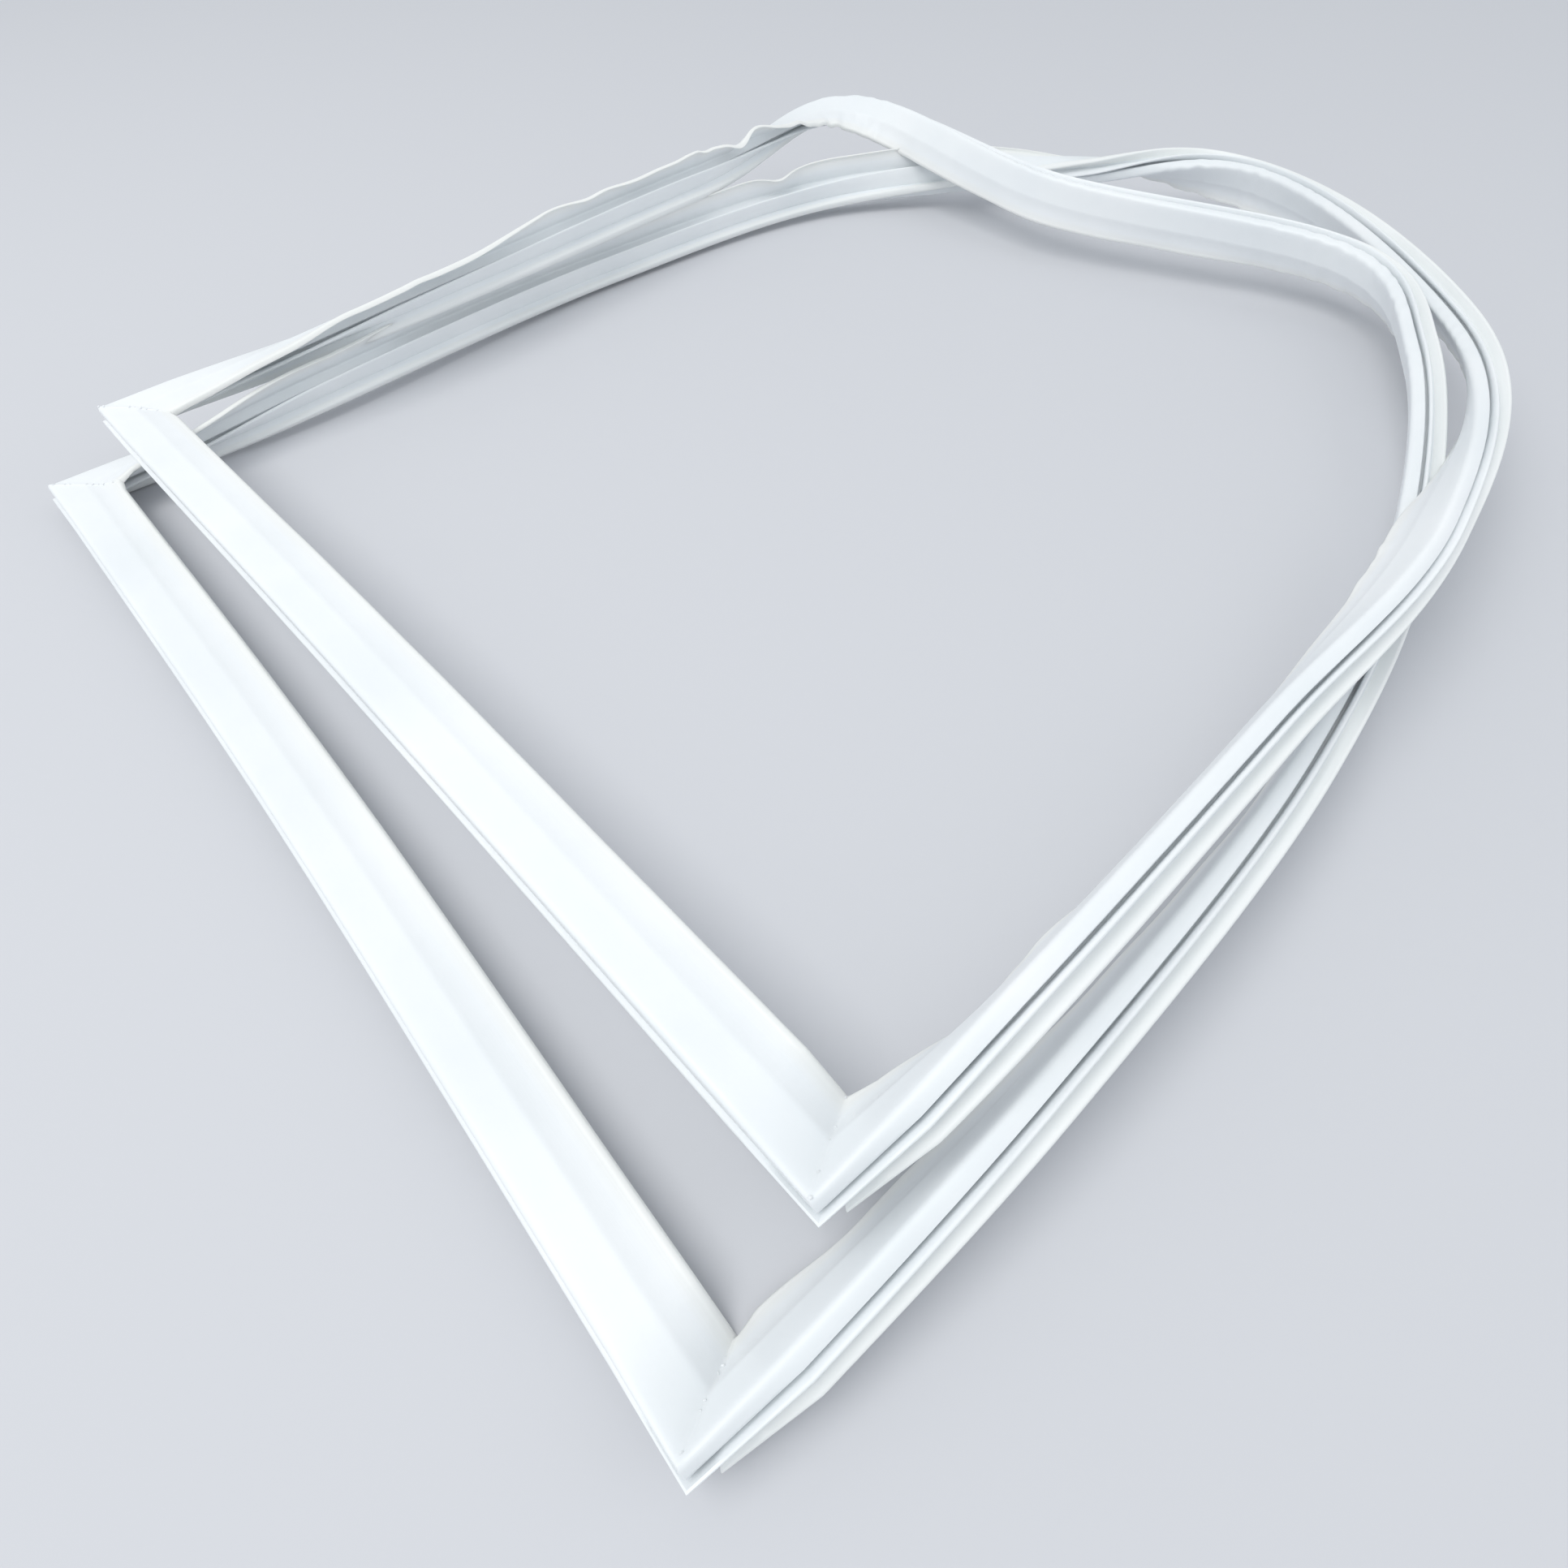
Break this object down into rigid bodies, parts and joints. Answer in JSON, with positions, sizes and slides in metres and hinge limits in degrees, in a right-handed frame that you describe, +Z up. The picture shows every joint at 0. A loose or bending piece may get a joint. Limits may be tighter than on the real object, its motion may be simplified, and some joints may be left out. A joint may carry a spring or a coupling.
{
  "type": "refrigerator door gasket",
  "caption": "Welded rectangular magnetic door seal of white soft vinyl, stored as a coil of two turns with mitred corners.",
  "frame": {"origin": "centre of the coil's box, on the floor that it lies on", "axes": "+X along the long sides, away from the short sides; +Y along the short sides; +Z up"},
  "size_m": [0.7748, 0.5988, 0.0648],
  "materials": {
    "soft_vinyl": "extruded soft white vinyl, satin",
    "bonded_ferrite": "flexible bonded ferrite strip, dull"
  },
  "bodies": {
    "root": {"gasket": "soft_vinyl", "magnet_strip_upper_short": "bonded_ferrite", "magnet_strip_outer_long": "bonded_ferrite", "magnet_strip_lower_short": "bonded_ferrite", "magnet_strip_inner_long": "bonded_ferrite"}
  },
  "joints": []
}
